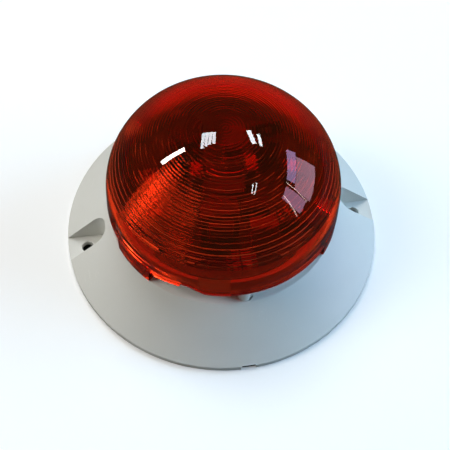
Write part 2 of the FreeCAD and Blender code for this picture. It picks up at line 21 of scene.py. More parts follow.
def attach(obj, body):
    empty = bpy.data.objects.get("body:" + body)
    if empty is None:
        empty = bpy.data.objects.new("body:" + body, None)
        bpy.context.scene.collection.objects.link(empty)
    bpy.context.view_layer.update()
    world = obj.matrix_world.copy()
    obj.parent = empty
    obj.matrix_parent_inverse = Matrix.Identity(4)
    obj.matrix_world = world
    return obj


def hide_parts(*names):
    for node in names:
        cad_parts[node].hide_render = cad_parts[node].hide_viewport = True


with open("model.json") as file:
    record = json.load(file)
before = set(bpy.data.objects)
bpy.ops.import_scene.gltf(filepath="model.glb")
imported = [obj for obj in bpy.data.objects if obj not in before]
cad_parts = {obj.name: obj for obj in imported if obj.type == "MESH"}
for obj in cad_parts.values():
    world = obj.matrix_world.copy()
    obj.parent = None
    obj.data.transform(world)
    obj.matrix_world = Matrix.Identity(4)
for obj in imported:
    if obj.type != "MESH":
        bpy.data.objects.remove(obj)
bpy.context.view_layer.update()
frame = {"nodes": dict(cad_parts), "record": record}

log = logging.getLogger("siren")
MM = 0.001
Colour = Tuple[float, float, float]
Span = Tuple[float, float]
Node = bpy.types.Node
NodeTree = bpy.types.NodeTree
Socket = bpy.types.NodeSocket
Value = Union[float, Socket]
Material = bpy.types.Material
Piece = bpy.types.Object


class Body(Enum):
    """Moving bodies of the part that new pieces ride on."""

    HOUSING = "housing"
    LENS = "lens"


class Grain(Enum):
    """How a moulded surface was finished, as bump scale (per metre) and depth (metres)."""

    SPARK = (5200.0, 0.000030)
    FINE = (9000.0, 0.000012)
    SMOOTH = (900.0, 0.000004)
    SINTER = (7000.0, 0.000040)


def dimmed(colour: Colour, share: float) -> Colour:
    """Returns a share of a colour."""
    return tuple(c * share for c in colour)


def grey(value: float) -> Colour:
    """Returns a neutral colour."""
    return (value, value, value)


# Shader building


class Tree:
    """Adds and links nodes in one shader tree."""

    def __init__(self, tree: NodeTree) -> None:
        """Keeps the tree that nodes are added to."""
        self.tree = tree

    def feed(self, node: Node, inputs: dict) -> None:
        """Sets or links inputs of a node.

        Args:
            node: the node.
            inputs: values or sockets for its inputs, by name or number.
        """
        for key, value in inputs.items():
            if isinstance(value, Socket):
                self.tree.links.new(value, node.inputs[key])
            else:
                node.inputs[key].default_value = value

    def add(self, kind: str, inputs: Optional[dict] = None, **settings) -> Node:
        """Adds a node.

        Args:
            kind: Blender's name of the node, without its ShaderNode prefix.
            inputs: values or sockets for its inputs, by name or number.
            settings: attributes of the node.

        Returns:
            The new node.
        """
        node = self.tree.nodes.new("ShaderNode" + kind)
        for key, value in settings.items():
            setattr(node, key, value)
        self.feed(node, inputs or {})
        return node

    def math(self, operation: str, a: Value, b: Value = 0.0, clamp: bool = False) -> Socket:
        """Returns the result of a two-value sum, product or the like."""
        return self.add("Math", {0: a, 1: b}, operation=operation, use_clamp=clamp).outputs[0]

    def blend(self, factor: Value, a: Union[Colour, Socket], b: Union[Colour, Socket]) -> Socket:
        """Returns a mix of two colours, the second for a factor of 1."""
        first, second = (value if isinstance(value, Socket) else (*value, 1.0) for value in (a, b))
        return self.add("Mix", {0: factor, 6: first, 7: second}, data_type="RGBA").outputs[2]

    def ramp(self, value: Value, source: Span, target: Span = (0.0, 1.0),
             curve: str = "LINEAR") -> Socket:
        """Returns a value carried from one range to another, and clamped to it."""
        inputs = {"Value": value, "From Min": source[0], "From Max": source[1],
                  "To Min": target[0], "To Max": target[1]}
        return self.add("MapRange", inputs, interpolation_type=curve).outputs["Result"]

    def noise(self, place: Socket, scale: Value, detail: float = 2.0,
              roughness: float = 0.5) -> Socket:
        """Returns smooth noise between 0 and 1."""
        inputs = {"Vector": place, "Scale": scale, "Detail": detail, "Roughness": roughness}
        return self.add("TexNoise", inputs).outputs[0]

    def cells(self, place: Socket, scale: float, jitter: float = 1.0, **settings) -> Socket:
        """Returns distances to the middles of scattered cells."""
        inputs = {"Vector": place, "Scale": scale, "Randomness": jitter}
        return self.add("TexVoronoi", inputs, **settings).outputs["Distance"]

    def axis(self, vector: Socket, name: str) -> Socket:
        """Returns one coordinate of a vector."""
        return self.add("SeparateXYZ", {0: vector}).outputs[name]

    def mirrored(self) -> Socket:
        """Returns 1 for rays off a glossy surface, and 0 for others, through clear walls too."""
        path = self.add("LightPath").outputs
        return self.math("SUBTRACT", path["Is Glossy Ray"], path["Is Transmission Ray"], True)

    def group(self, shared: NodeTree, place: Socket, **values: float) -> Dict[str, Socket]:
        """Returns the outputs of a shared group that is fed with places and values."""
        return self.add("Group", {"Vector": place, **values}, node_tree=shared).outputs


def start_material(name: str) -> Tuple[Material, Tree, Node]:
    """Starts a material.

    Args:
        name: name of the material.

    Returns:
        The material, the helper that fills its tree, and its main shader.
    """
    material = bpy.data.materials.new(name)
    material.use_nodes = True
    return material, Tree(material.node_tree), material.node_tree.nodes["Principled BSDF"]


@dataclass
class Effects:
    """Shader groups that several finishes share, each built once."""

    fine_detail: float = 3.0
    fine_roughness: float = 0.6
    drift_scale: float = 38.0
    drift_range: Span = (0.3, 0.7)
    hairs: Tuple[Span, ...] = ((0.5, 2100.0), (2.1, 1600.0))
    hair_tilt: Span = (0.3, 0.2)
    hair_stretch: Tuple[float, float, float] = (1.0, 0.06, 0.4)
    hair_range: Span = (0.70, 0.76)
    gate_scale: float = 70.0
    gate_range: Span = (0.5, 0.65)
    film_scale: float = 120.0
    film_detail: float = 4.0
    film_range: Span = (0.45, 0.8)
    film_share: float = 0.6
    speck_scale: float = 640.0
    speck_range: Span = (0.16, 0.10)
    speck_share: float = 0.4
    facing_range: Span = (0.1, 0.9)

    def __post_init__(self) -> None:
        """Builds the groups."""
        self.mould = self._mould()
        self.scuff = self._scuff()
        self.dust = self._dust()

    @staticmethod
    def _open(name: str, setting: str, results: Sequence[str]) -> Tuple[Tree, Dict[str, Socket]]:
        """Starts a group with a Vector input, one value input and value outputs.

        Args:
            name: name of the group.
            setting: name of the value input.
            results: names of the outputs.

        Returns:
            The helper that fills the group, and the group's inputs.
        """
        group = bpy.data.node_groups.new(name, "ShaderNodeTree")
        group.interface.new_socket(name="Vector", in_out="INPUT", socket_type="NodeSocketVector")
        group.interface.new_socket(name=setting, in_out="INPUT", socket_type="NodeSocketFloat")
        for key in results:
            group.interface.new_socket(name=key, in_out="OUTPUT", socket_type="NodeSocketFloat")
        return Tree(group), group.nodes.new("NodeGroupInput").outputs

    @staticmethod
    def _close(tree: Tree, **results: Socket) -> NodeTree:
        """Links the results to the group's outputs and returns the group."""
        tree.feed(tree.tree.nodes.new("NodeGroupOutput"), results)
        return tree.tree

    def _mould(self) -> NodeTree:
        """Moulded grain: fine noise for the height, and slow noise for how the colour drifts."""
        tree, start = self._open("moulded_grain", "Scale", ("Height", "Drift"))
        fine = tree.noise(start["Vector"], start["Scale"], self.fine_detail, self.fine_roughness)
        slow = tree.noise(start["Vector"], self.drift_scale)
        return self._close(tree, Height=fine, Drift=tree.ramp(slow, self.drift_range))

    def _scuff(self) -> NodeTree:
        """Handling marks: thin broken hairlines where slow noise lets them through."""
        tree, start = self._open("handling_marks", "Amount", ("Mask",))
        lines = []
        for turn, scale in self.hairs:
            inputs = {"Vector": start["Vector"], "Rotation": (*self.hair_tilt, turn),
                      "Scale": self.hair_stretch}
            place = tree.add("Mapping", inputs).outputs[0]
            lines.append(tree.ramp(tree.noise(place, scale, 1.0), self.hair_range))
        gate = tree.ramp(tree.noise(start["Vector"], self.gate_scale, 1.0), self.gate_range)
        shown = tree.math("MULTIPLY", tree.math("MAXIMUM", *lines), gate)
        return self._close(tree, Mask=tree.math("MULTIPLY", shown, start["Amount"]))

    def _dust(self) -> NodeTree:
        """Settled dust: specks and a thin film on faces that point out of the wall."""
        tree, start = self._open("settled_dust", "Amount", ("Mask",))
        up = tree.axis(tree.add("NewGeometry").outputs["Normal"], "Z")
        noise = tree.noise(start["Vector"], self.film_scale, self.film_detail)
        film = tree.ramp(noise, self.film_range, (0.0, self.film_share))
        speck = tree.ramp(tree.cells(start["Vector"], self.speck_scale), self.speck_range)
        total = tree.math("ADD", film, tree.math("MULTIPLY", speck, self.speck_share))
        faced = tree.math("MULTIPLY", total, tree.ramp(up, self.facing_range))
        return self._close(tree, Mask=tree.math("MULTIPLY", faced, start["Amount"], True))


# Finishes


@dataclass(frozen=True)
class Finish:
    """A moulded, lacquered or metal finish with grain, drift of colour, handling marks and dust,
    and painted shade that dims its colour in reflections where mirrored is below 1.
    """

    DUST_COLOUR = (0.42, 0.40, 0.37)
    MARK_GAIN = 1.25
    MARK_LIFT = 0.03
    MARK_ROUGHNESS = 0.25
    ROUGHNESS_SPREAD = (0.85, 1.15)
    COAT_ROUGHNESS = 0.08

    slot: str
    colour: Colour
    shade: Colour
    roughness: float
    grain: Grain = Grain.FINE
    metallic: float = 0.0
    marks: float = 0.3
    dust: float = 0.0
    coat: float = 0.0
    mirrored: float = 1.0

    def material(self, effects: Effects) -> Material:
        """Builds the finish.

        Args:
            effects: the shared shader groups.

        Returns:
            A material whose colour, roughness and bump all change over the surface.
        """
        material, tree, shader = start_material("finish_" + self.slot)
        place = tree.add("TexCoord").outputs["Object"]
        scale, depth = self.grain.value
        mould = tree.group(effects.mould, place, Scale=scale)
        scuff = tree.group(effects.scuff, place, Amount=self.marks)["Mask"]
        dust = tree.group(effects.dust, place, Amount=self.dust)["Mask"]
        colour = self.pattern(tree, place, mould["Drift"])
        pale = tuple(min(1.0, c * self.MARK_GAIN + self.MARK_LIFT) for c in self.colour)
        colour = tree.blend(scuff, colour, pale)
        colour = tree.blend(dust, colour, self.DUST_COLOUR)
        # painted shade: rays off glossy surfaces see this finish dimmed to a share of its colour,
        # so it shows darker in reflections
        if self.mirrored < 1.0:
            colour = tree.blend(tree.mirrored(), colour, dimmed(self.colour, self.mirrored))
        spread = tuple(self.roughness * share for share in self.ROUGHNESS_SPREAD)
        rough = tree.ramp(mould["Drift"], (0.0, 1.0), spread)
        rough = tree.math("ADD", rough, tree.math("MULTIPLY", scuff, self.MARK_ROUGHNESS), True)
        bump = tree.add("Bump", {"Height": mould["Height"], "Distance": depth, "Strength": 1.0})
        tree.feed(shader, {"Base Color": colour, "Roughness": rough, "Normal": bump.outputs[0],
                           "Metallic": self.metallic, "Coat Weight": self.coat,
                           "Coat Roughness": self.COAT_ROUGHNESS})
        return material

    def pattern(self, tree: Tree, place: Socket, drift: Socket) -> Socket:
        """Returns the colour before marks and dust, which drifts between two close shades."""
        return tree.blend(drift, self.colour, self.shade)


@dataclass(frozen=True)
class BoardFinish(Finish):
    """Solder mask over copper tracks, with bare pads."""

    track: Colour = (0.012, 0.11, 0.048)
    track_scale: float = 260.0
    track_range: Span = (0.62, 0.72)
    pad: Colour = (0.62, 0.60, 0.55)
    pad_scale: float = 395.0
    pad_jitter: float = 0.15
    pad_range: Span = (0.17, 0.14)
    gate_scale: float = 180.0
    gate_range: Span = (0.56, 0.60)

    def pattern(self, tree: Tree, place: Socket, drift: Socket) -> Socket:
        """Tracks are the borders of square cells, and pads are dots at the middles of others."""
        base = super().pattern(tree, place, drift)
        edges = tree.cells(place, self.track_scale, distance="MANHATTAN", feature="F2")
        masked = tree.blend(tree.ramp(edges, self.track_range), base, self.track)
        dot = tree.ramp(tree.cells(place, self.pad_scale, self.pad_jitter), self.pad_range)
        gate = tree.ramp(tree.noise(place, self.gate_scale), self.gate_range)
        return tree.blend(tree.math("MULTIPLY", dot, gate), masked, self.pad)


@dataclass(frozen=True)
class BandFinish(Finish):
    """A lacquered body with bands across X, each given by its middle, width and colour."""

    bands: Tuple[Tuple[float, float, Colour], ...] = ()

    def pattern(self, tree: Tree, place: Socket, drift: Socket) -> Socket:
        """Each band covers x within half its width of its middle."""
        colour = super().pattern(tree, place, drift)
        x = tree.axis(place, "X")
        for middle, width, shade in self.bands:
            off = tree.math("ABSOLUTE", tree.math("SUBTRACT", x, middle * MM))
            inside = tree.math("LESS_THAN", off, width * MM / 2)
            colour = tree.blend(inside, colour, shade)
        return colour


@dataclass(frozen=True)
class ClearFinish:
    """Clear plastic or glass: tinted, polished, with faint smears in its roughness.

    Shadow and bounce rays pass straight through with the wall's tint, so that what is inside is
    lit. Below a height they lose more of their light, a painted shade that darkens the collar and
    the ledge behind and under the plain band at the foot of the lens.
    """

    FLOW_SCALE = 300.0
    FLOW_TINT = 0.93
    MARKS = 0.35
    MARK_ROUGHNESS = 0.05
    ROUGHNESS_SPREAD = (0.5, 1.5)

    slot: str
    tint: Colour
    wall_tint: Colour
    ior: float
    roughness: float
    band_shade_share: float = 1.0
    band_z: Span = (39.0, 46.0)

    def material(self, effects: Effects) -> Material:
        """Builds the finish.

        Args:
            effects: the shared shader groups.

        Returns:
            A transmitting material.
        """
        material, tree, shader = start_material("finish_" + self.slot)
        place = tree.add("TexCoord").outputs["Object"]
        drift = tree.group(effects.mould, place, Scale=self.FLOW_SCALE)["Drift"]
        scuff = tree.group(effects.scuff, place, Amount=self.MARKS)["Mask"]
        spread = tuple(self.roughness * share for share in self.ROUGHNESS_SPREAD)
        smear = tree.ramp(drift, (0.0, 1.0), spread)
        marks = tree.math("MULTIPLY", scuff, self.MARK_ROUGHNESS)
        deep = dimmed(self.tint, self.FLOW_TINT)
        tree.feed(shader, {"Base Color": tree.blend(drift, self.tint, deep),
                           "Roughness": tree.math("ADD", smear, marks, True),
                           "IOR": self.ior, "Transmission Weight": 1.0})
        # painted shade: below band_z the straight-through tint is dimmed, darkening what lies
        # inside and under the plain band
        above = tree.ramp(tree.axis(place, "Z"), (self.band_z[0] * MM, self.band_z[1] * MM))
        wall = tuple(math.sqrt(c) for c in self.wall_tint)
        band = dimmed(wall, math.sqrt(self.band_shade_share))
        through = tree.add("BsdfTransparent", {"Color": tree.blend(above, band, wall)})
        path = tree.add("LightPath").outputs
        straight = tree.math("MAXIMUM", path["Is Shadow Ray"], path["Is Diffuse Ray"])
        mixed = tree.add("MixShader", {0: straight, 1: shader.outputs[0], 2: through.outputs[0]})
        tree.feed(tree.tree.nodes["Material Output"], {"Surface": mixed.outputs[0]})
        return material


@dataclass
class FinishSet:
    """Every finish of the part by its slot in the record."""

    effects: Effects = field(default_factory=Effects)
    made: Dict[str, Material] = field(default_factory=dict)

    def all(self) -> List[Union[Finish, ClearFinish]]:
        """Returns the finishes."""
        return [
            # painted shade: the housing shows at a small share of its colour in reflections
            Finish("housing_ivory", (0.76, 0.755, 0.715), (0.73, 0.725, 0.68), 0.42, Grain.SPARK,
                   marks=0.25, dust=0.05, mirrored=0.06),
            ClearFinish("lens_red", (0.97, 0.045, 0.008), (0.40, 0.02, 0.006), 1.50, 0.012,
                        band_shade_share=0.25),
            Finish("rubber_black", (0.022, 0.022, 0.023), (0.032, 0.031, 0.030), 0.72,
                   Grain.SINTER, dust=0.3),
            Finish("screw_steel", (0.60, 0.60, 0.57), (0.52, 0.53, 0.53), 0.30,
                   metallic=1.0, marks=0.5),
            Finish("piezo_brass", (0.78, 0.58, 0.25), (0.68, 0.50, 0.22), 0.32,
                   metallic=1.0, marks=0.5),
            Finish("piezo_ceramic", (0.78, 0.76, 0.70), (0.70, 0.69, 0.64), 0.40, Grain.SINTER),
            Finish("cap_black", (0.022, 0.022, 0.024), (0.030, 0.030, 0.031), 0.50,
                   Grain.SPARK, dust=0.1),
            BoardFinish("board_green", (0.005, 0.055, 0.022), (0.007, 0.065, 0.028), 0.36,
                        Grain.SMOOTH, coat=0.15),
            ClearFinish("tube_glass", (0.95, 0.97, 0.98), (0.95, 0.97, 0.98), 1.47, 0.01),
            Finish("contact_nickel", (0.72, 0.70, 0.66), (0.64, 0.63, 0.60), 0.22,
                   metallic=1.0, marks=0.4),
            # painted shade: the white holder is given a dark grey, standing in for the dim light
            # inside the lens
            Finish("holder_white", grey(0.10), grey(0.13), 0.48, dust=0.1),
            Finish("can_sleeve", (0.012, 0.016, 0.040), (0.018, 0.024, 0.055), 0.26,
                   Grain.SMOOTH, coat=0.3),
            Finish("coil_tape", (0.16, 0.10, 0.02), (0.13, 0.08, 0.02), 0.30,
                   Grain.SMOOTH, coat=0.3),
            Finish("ferrite_grey", (0.050, 0.050, 0.054), (0.070, 0.069, 0.070), 0.60,
                   Grain.SINTER),
            Finish("film_red", (0.28, 0.030, 0.020), (0.22, 0.022, 0.016), 0.28,
                   Grain.SMOOTH, coat=0.3),
            Finish("package_black", (0.018, 0.018, 0.019), grey(0.026), 0.46, Grain.SPARK),
            BandFinish("resistor_beige", (0.56, 0.42, 0.27), (0.50, 0.37, 0.23), 0.36,
                       Grain.SMOOTH, coat=0.3,
                       bands=((0.2, 0.6, (0.30, 0.12, 0.03)), (1.6, 0.6, grey(0.02)),
                              (3.0, 0.6, (0.45, 0.05, 0.03)), (4.6, 0.6, (0.55, 0.40, 0.08)))),
            Finish("terminal_grey", (0.24, 0.25, 0.26), (0.20, 0.21, 0.22), 0.46, Grain.SPARK),
            Finish("switch_blue", (0.016, 0.055, 0.26), (0.012, 0.045, 0.21), 0.42),
            Finish("slider_white", (0.78, 0.78, 0.75), (0.72, 0.72, 0.69), 0.44),
        ]

    def build(self) -> None:
        """Makes every material."""
        for finish in self.all():
            self.made[finish.slot] = finish.material(self.effects)

    def get(self, slot: str) -> Material:
        """Returns the material of a slot."""
        return self.made[slot]

    def dress_nodes(self) -> None:
        """Gives every CAD node the finish of its slot in the record."""
        for row in frame["record"]["subparts"]:
            obj = frame["nodes"][row["node"]]
            material = self.get(row["material_slot"])
            if len(obj.material_slots) == 0:
                obj.data.materials.append(material)
            for slot in obj.material_slots:
                slot.material = material
            log.info("node %s takes finish %s", row["node"], row["material_slot"])


# Mesh building


def turned_shell(radius: np.ndarray, height: np.ndarray,
                 angle: np.ndarray) -> Tuple[np.ndarray, List[np.ndarray]]:
    """Works out a closed turned shell from an open profile whose ends lie on the axis.

    Point (i, j) is (r cos a, r sin a, z) with r = radius[i, j], z = height[i, j] and
    a = angle[j]. The first and the last row shrink to one point each, and the columns close on
    themselves.

    Args:
        radius: rows by columns, in millimetres.
        height: rows by columns, in millimetres.
        angle: one angle for each column, in radians, rising.

    Returns:
        The points in metres and the faces.
    """
    rows, columns = radius.shape
    grid = np.stack([radius * np.cos(angle), radius * np.sin(angle), height], axis=-1)
    ring = grid[1:-1].reshape(-1, 3)
    poles = np.array([[0.0, 0.0, height[0].mean()], [0.0, 0.0, height[-1].mean()]])
    index = np.arange((rows - 2) * columns).reshape(rows - 2, columns)
    after = np.roll(index, -1, axis=1)
    quads = np.stack([index[:-1], index[1:], after[1:], after[:-1]], axis=-1).reshape(-1, 4)
    top = np.full(columns, len(ring))
    fans = np.concatenate([np.stack([top, index[0], after[0]], axis=-1),
                           np.stack([top + 1, after[-1], index[-1]], axis=-1)])
    return np.concatenate([ring, poles]) * MM, [quads, fans]


def mesh_object(name: str, points: np.ndarray, faces: Sequence[np.ndarray],
                sharp: float = 32.0) -> Piece:
    """Puts points and faces into a smooth-shaded mesh with edges that turn by an angle kept sharp.

    Args:
        name: name of the object.
        points: one (x, y, z) for each vertex, in metres.
        faces: arrays of vertex numbers, one face to a row.
        sharp: the angle in degrees.

    Returns:
        The new object, linked to the scene.
    """
    mesh = bpy.data.meshes.new(name)
    mesh.from_pydata(points.tolist(), [], [face for group in faces for face in group.tolist()])
    mesh.polygons.foreach_set("use_smooth", np.ones(len(mesh.polygons), dtype=bool))
    mesh.update()
    mesh.set_sharp_from_angle(angle=math.radians(sharp))
    obj = bpy.data.objects.new(name, mesh)
    bpy.context.scene.collection.objects.link(obj)
    return obj


def dress(obj: Piece, material: Material) -> None:
    """Gives an object one material."""
    obj.data.materials.clear()
    obj.data.materials.append(material)


def seat(obj: Piece, body: Body, slot: str, *nodes: str) -> None:
    """Rides a new piece on a body, and names the CAD nodes that it stands for."""
    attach(obj, body.value)
    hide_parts(*nodes)
    log.info("piece %s rides on %s for %s", obj.name, body.value, ", ".join(nodes))


# Sub-assemblies


@dataclass
class Lens:
    """Red dome lens: smooth outside, prism rings inside, three hooked feet and a cut-away rim."""

    outer_r: float = 46.3
    flare: float = 0.3
    wall: float = 2.2
    rim_z: float = 27.7
    spring_z: float = 34.6
    dome_h: float = 36.9
    knuckle_r: float = 30.0
    ring_start: float = 8.5
    ring_count: int = 23
    tread_fall: float = 0.68
    tread_from: float = 27.0
    tread_least: float = 6.0
    tread_bow: float = 0.03
    mid_step: float = 0.22
    feet: Tuple[float, ...] = (91.0, 211.0, 331.0)
    foot_half: float = 12.0
    foot_z: float = 20.8
    seam_z: float = 30.1
    seam_h: float = 1.0
    seam_depth: float = 0.9
    relief: Tuple[Span, ...] = ((1.0, 0.0), (17.0, 1.8), (17.0, 3.2), (21.5, 3.0), (29.0, 0.0))
    skirt_z: float = 32.6
    hook_half: float = 7.0
    hook_r: float = 41.5
    hook_h: float = 2.1
    hook_draft: float = 0.05
    edge: float = 0.3
    step_draft: float = 0.25
    columns: int = 288
    column_shift: float = 0.11
    crown_rows: int = 26
    knuckle_rows: int = 18
    band_rows: int = 6
    tread_points: int = 4

    def __post_init__(self) -> None:
        """Works out the crown that meets the knuckle and the axis."""
        gap = self.outer_r - self.knuckle_r
        spare = self.dome_h - self.knuckle_r
        self.crown_r = (gap ** 2 + self.dome_h ** 2 - self.knuckle_r ** 2) / (2 * spare)
        self.crown_z = self.spring_z + self.dome_h - self.crown_r
        self.turn = math.atan2(self.spring_z - self.crown_z, gap)
        self.knuckle_arc = self.knuckle_r * self.turn
        self.arc = self.knuckle_arc + self.crown_r * (math.pi / 2 - self.turn)

    def dome(self, arc: np.ndarray, depth: np.ndarray) -> Tuple[np.ndarray, np.ndarray]:
        """Points of the dome's section.

        The knuckle is an arc about (outer_r - knuckle_r, spring_z) and the crown one about
        (0, crown_z); a point at an arc length lies on one of them, moved inwards by its depth.

        Args:
            arc: arc lengths up from the spring line.
            depth: depths under the outer face.

        Returns:
            Radii and heights.
        """
        low = arc < self.knuckle_arc
        past = self.turn + (arc - self.knuckle_arc) / self.crown_r
        angle = np.where(low, arc / self.knuckle_r, past)
        bend = np.where(low, self.knuckle_r, self.crown_r) - depth
        radius = np.where(low, self.outer_r - self.knuckle_r, 0.0) + bend * np.cos(angle)
        return radius, np.where(low, self.spring_z, self.crown_z) + bend * np.sin(angle)

    def rings(self) -> Tuple[np.ndarray, np.ndarray]:
        """Section of the ringed inside, from the plain band up to the axis.

        The rings are a staircase under the dome. Ring i starts on the inner wall at arc length
        ring_start + i p. Its tread rises inwards at the chord's slope less tread_fall times what
        that slope has over tread_from. A fine step half-way takes mid_step of the height that is
        left and a riser along the axis takes the rest, up to ring i + 1. Each half of the tread
        bows into the inside by tread_bow 4u(1 - u) of its length.

        Returns:
            Radii and heights.
        """
        arc = np.linspace(self.ring_start, self.arc, self.ring_count + 1)
        radius, height = self.dome(arc, np.full_like(arc, self.wall))
        run, rise = -np.diff(radius)[:, None, None], np.diff(height)[:, None, None]
        slope = np.degrees(np.arctan2(rise, run))
        fall = np.maximum(self.tread_least, self.tread_fall * (slope - self.tread_from))
        tread = np.radians(np.maximum(slope - fall, 0.0))
        half = np.arange(2)[None, :, None]
        u = np.linspace(0.0, 1.0, self.tread_points)[None, None, :]
        along = run * (half + u) / 2
        bow = self.tread_bow * run / 2 / np.cos(tread) * 4.0 * u * (1.0 - u)
        step = self.mid_step * (rise - run * np.tan(tread)) * half
        inner_r = radius[:-1, None, None] - along - bow * np.sin(tread)
        inner_z = height[:-1, None, None] + along * np.tan(tread) + step - bow * np.cos(tread)
        return inner_r.ravel(), inner_z.ravel()

    def lower_edge(self, angle: np.ndarray) -> Tuple[np.ndarray, np.ndarray, np.ndarray]:
        """Shape of the lower edge round the lens.

        Each foot reaches down to foot_z; past it the rim rises along the straight pieces between
        the relief's (degrees past the foot, rise) corners, and elsewhere it lies at rim_z.

        Args:
            angle: angles of the columns, in degrees.

        Returns:
            Heights of the edge, and where the columns lie on a foot and on a hook.
        """
        places, rises = np.array(self.relief).T
        height = np.full(angle.shape, self.rim_z)
        foot = np.zeros(angle.shape, dtype=bool)
        hook = np.zeros(angle.shape, dtype=bool)
        for middle in self.feet:
            off = (angle - middle + 180.0) % 360.0 - 180.0
            height += np.interp(off - self.foot_half, places, rises)
            foot |= np.abs(off) < self.foot_half
            hook |= np.abs(off) < self.hook_half
        return np.where(foot, self.foot_z, height), foot, hook

    def column_angles(self) -> np.ndarray:
        """Angles of the columns in degrees: even steps, and a close pair at each lower corner."""
        corners = self.foot_half + np.unique([place for place, _ in self.relief])
        flanks = (-self.foot_half, -self.hook_half, self.hook_half, self.foot_half)
        steps = np.array([*flanks, *corners])
        places = np.add.outer(np.array(self.feet), steps).ravel() % 360.0
        even = np.arange(self.columns) * 360.0 / self.columns + self.column_shift
        apart = np.abs((even[:, None] - places[None, :] + 180.0) % 360.0 - 180.0).min(axis=1)
        pairs = np.concatenate([places - self.step_draft / 2, places + self.step_draft / 2])
        return np.sort(np.concatenate([even[apart > self.step_draft], pairs]))

    def skirt_r(self, height: np.ndarray) -> np.ndarray:
        """Radius of the skirt's outer face, which flares evenly from the spring line to the rim.

        Args:
            height: heights between the rim and the spring line.

        Returns:
            Radii.
        """
        return self.outer_r + self.flare * (self.spring_z - height) / (self.spring_z - self.rim_z)

    def seam_rows(self, foot: np.ndarray, low: np.ndarray) -> List[Tuple[np.ndarray, np.ndarray]]:
        """Rows down the skirt's outside that dip into the seam over each foot.

        On a foot the rows follow a square groove with bevelled mouth; elsewhere they share out the
        plain skirt evenly from skirt_z down to its lower end.

        Args:
            foot: where the columns lie on a foot.
            low: heights at which the skirt ends.

        Returns:
            Radii and heights of the rows, from the top.
        """
        bevel = self.edge / 2
        top = self.seam_z + self.seam_h
        corners = ((top + bevel, 0.0), (top, bevel), (top, self.seam_depth),
                   (self.seam_z, self.seam_depth), (self.seam_z, bevel), (self.seam_z - bevel, 0.0))
        rows = []
        for i, (level, depth) in enumerate(corners, start=1):
            plain = self.skirt_z + (low - self.skirt_z) * i / (len(corners) + 1)
            height = np.where(foot, level, plain)
            rows.append((self.skirt_r(height) - np.where(foot, depth, 0.0), height))
        return rows

    def build(self) -> Piece:
        """Makes the lens.

        The section runs from the apex down the outside, round the lower edge, whose height and
        inner reach change with the angle, and up the ringed inside to the axis; each row is
        carried round the axis.

        Returns:
            The lens as one closed shell.
        """
        angle = self.column_angles()
        edge_z, foot, hook = self.lower_edge(angle)
        one = np.ones_like(angle)
        edge = self.edge
        inner_r = self.outer_r - self.wall
        low = np.where(foot, self.rim_z, edge_z + 2 * edge)
        face_r = self.skirt_r(np.maximum(edge_z, self.rim_z))
        reach = np.where(hook, self.hook_r, inner_r)
        rise = np.where(hook, self.hook_h, 2 * edge)
        out_arc = np.concatenate([np.linspace(self.arc, self.knuckle_arc, self.crown_rows),
                                  np.linspace(self.knuckle_arc, 0.0, self.knuckle_rows)[1:]])
        out_r, out_z = self.dome(out_arc, np.zeros_like(out_arc))
        rows = [(r * one, z * one) for r, z in zip(out_r, out_z)]
        rows.append((self.skirt_r(self.skirt_z) * one, self.skirt_z * one))
        rows += self.seam_rows(foot, low)
        rows += [(self.skirt_r(low), low),
                 (face_r, edge_z + edge),
                 (face_r - edge, edge_z),
                 (reach + edge, edge_z),
                 (reach, edge_z + edge),
                 (reach, edge_z + rise - edge / 2),
                 (np.minimum(reach + edge, inner_r), edge_z + rise),
                 (inner_r * one, edge_z + rise + self.hook_draft),
                 (inner_r * one, self.skirt_z * one)]
        band = np.linspace(0.0, self.ring_start, self.band_rows)[:-1]
        for in_r, in_z in (self.dome(band, np.full_like(band, self.wall)), self.rings()):
            rows += [(r * one, z * one) for r, z in zip(in_r, in_z)]
        radius, height = (np.stack(values) for values in zip(*rows))
        return mesh_object("lens_shell", *turned_shell(radius, height, np.radians(angle)))

    def dress(self, finishes: FinishSet) -> None:
        """Builds the lens and gives it its finish and its place."""
        lens = self.build()
        dress(lens, finishes.get("lens_red"))
        seat(lens, Body.LENS, "lens_red", "lens_dome")


